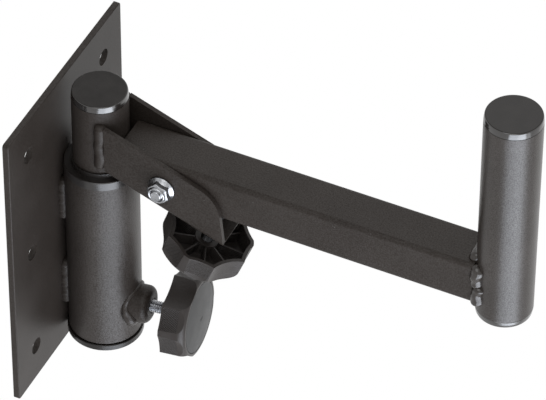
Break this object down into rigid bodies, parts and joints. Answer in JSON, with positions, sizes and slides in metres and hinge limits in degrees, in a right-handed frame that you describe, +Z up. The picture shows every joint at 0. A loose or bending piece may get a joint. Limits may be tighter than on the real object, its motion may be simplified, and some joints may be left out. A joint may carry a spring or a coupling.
{
  "type": "speaker wall bracket",
  "caption": "Steel wall bracket with a swivelling spindle, a screw-adjusted tilting arm and an upright pole that carries a loudspeaker.",
  "frame": {"origin": "middle of the wall plate's back face, which lies on the wall", "axes": "+X out of the wall along the arm, +Y across the plate, +Z up"},
  "size_m": [0.3105, 0.146, 0.2935],
  "materials": {
    "coated_steel": "satin powder coat, fine texture",
    "coated_weld": "satin powder coat over a weld bead",
    "bush_plastic": "smooth",
    "cap_plastic": "glossy moulding",
    "knob_plastic": "satin moulding",
    "cover_plastic": "satin moulding",
    "zinc_steel": "bright zinc"
  },
  "bodies": {
    "base": {"wall_plate": "coated_steel", "plate_welds": "coated_weld", "sleeve_tube": "coated_steel", "top_bush": "bush_plastic", "lower_bush": "bush_plastic", "sleeve_cap": "cap_plastic", "clamp_boss": "coated_steel", "boss_weld": "coated_weld"},
    "swivel": {"spindle_tube": "coated_steel", "spindle_cap": "cap_plastic", "fork": "coated_steel", "fork_welds": "coated_weld", "weld_nut": "coated_steel", "pivot_bolt": "zinc_steel", "pivot_nut": "zinc_steel"},
    "arm": {"arm_tube": "coated_steel", "arm_welds": "coated_weld", "pole_tube": "coated_steel", "pole_top_cap": "cap_plastic", "pole_bottom_cap": "cap_plastic"},
    "clamp_screw": {"clamp_stud": "zinc_steel"},
    "clamp_grip": {"clamp_knob": "knob_plastic", "clamp_knob_cover": "cover_plastic"},
    "tilt_screw": {"tilt_stud": "zinc_steel"},
    "tilt_grip": {"tilt_knob": "knob_plastic", "tilt_knob_cover": "cover_plastic"}
  },
  "joints": [
    {"name": "spindle_swivel", "type": "hinge", "parent": "base", "child": "swivel", "pos_m": [0.027, 0, 0.04], "axis": [0, 0, 1], "range_deg": [-80, 80]},
    {"name": "arm_tilt", "type": "hinge", "parent": "swivel", "child": "arm", "pos_m": [0.077, 0, 0.0574], "axis": [0, 1, 0], "range_deg": [0, 20]},
    {"name": "clamp_slide", "type": "slide", "parent": "base", "child": "clamp_screw", "axis": [0.9959, 0.0836, 0.033], "range_m": [0, 0.0101]},
    {"name": "clamp_turn", "type": "hinge", "parent": "clamp_screw", "child": "clamp_grip", "pos_m": [0.07444, 0.00121, -0.06412], "axis": [0.9959, 0.0836, 0.033], "range_deg": [0, 2880]},
    {"name": "tilt_slide", "type": "slide", "parent": "swivel", "child": "tilt_screw", "axis": [-0.3412, -0.0698, -0.9374], "range_m": [0, 0.0122]},
    {"name": "tilt_turn", "type": "hinge", "parent": "tilt_screw", "child": "tilt_grip", "pos_m": [0.10043, -0.00096, 0.01592], "axis": [-0.3412, -0.0698, -0.9374], "range_deg": [0, 3490.19]}
  ],
  "couplings": [
    {"joint": "clamp_slide", "follows": "clamp_turn", "m_per_rad": 0.00019894},
    {"joint": "tilt_slide", "follows": "arm_tilt", "m_per_rad": 0.034668},
    {"joint": "tilt_turn", "follows": "arm_tilt", "ratio": 174.26}
  ]
}
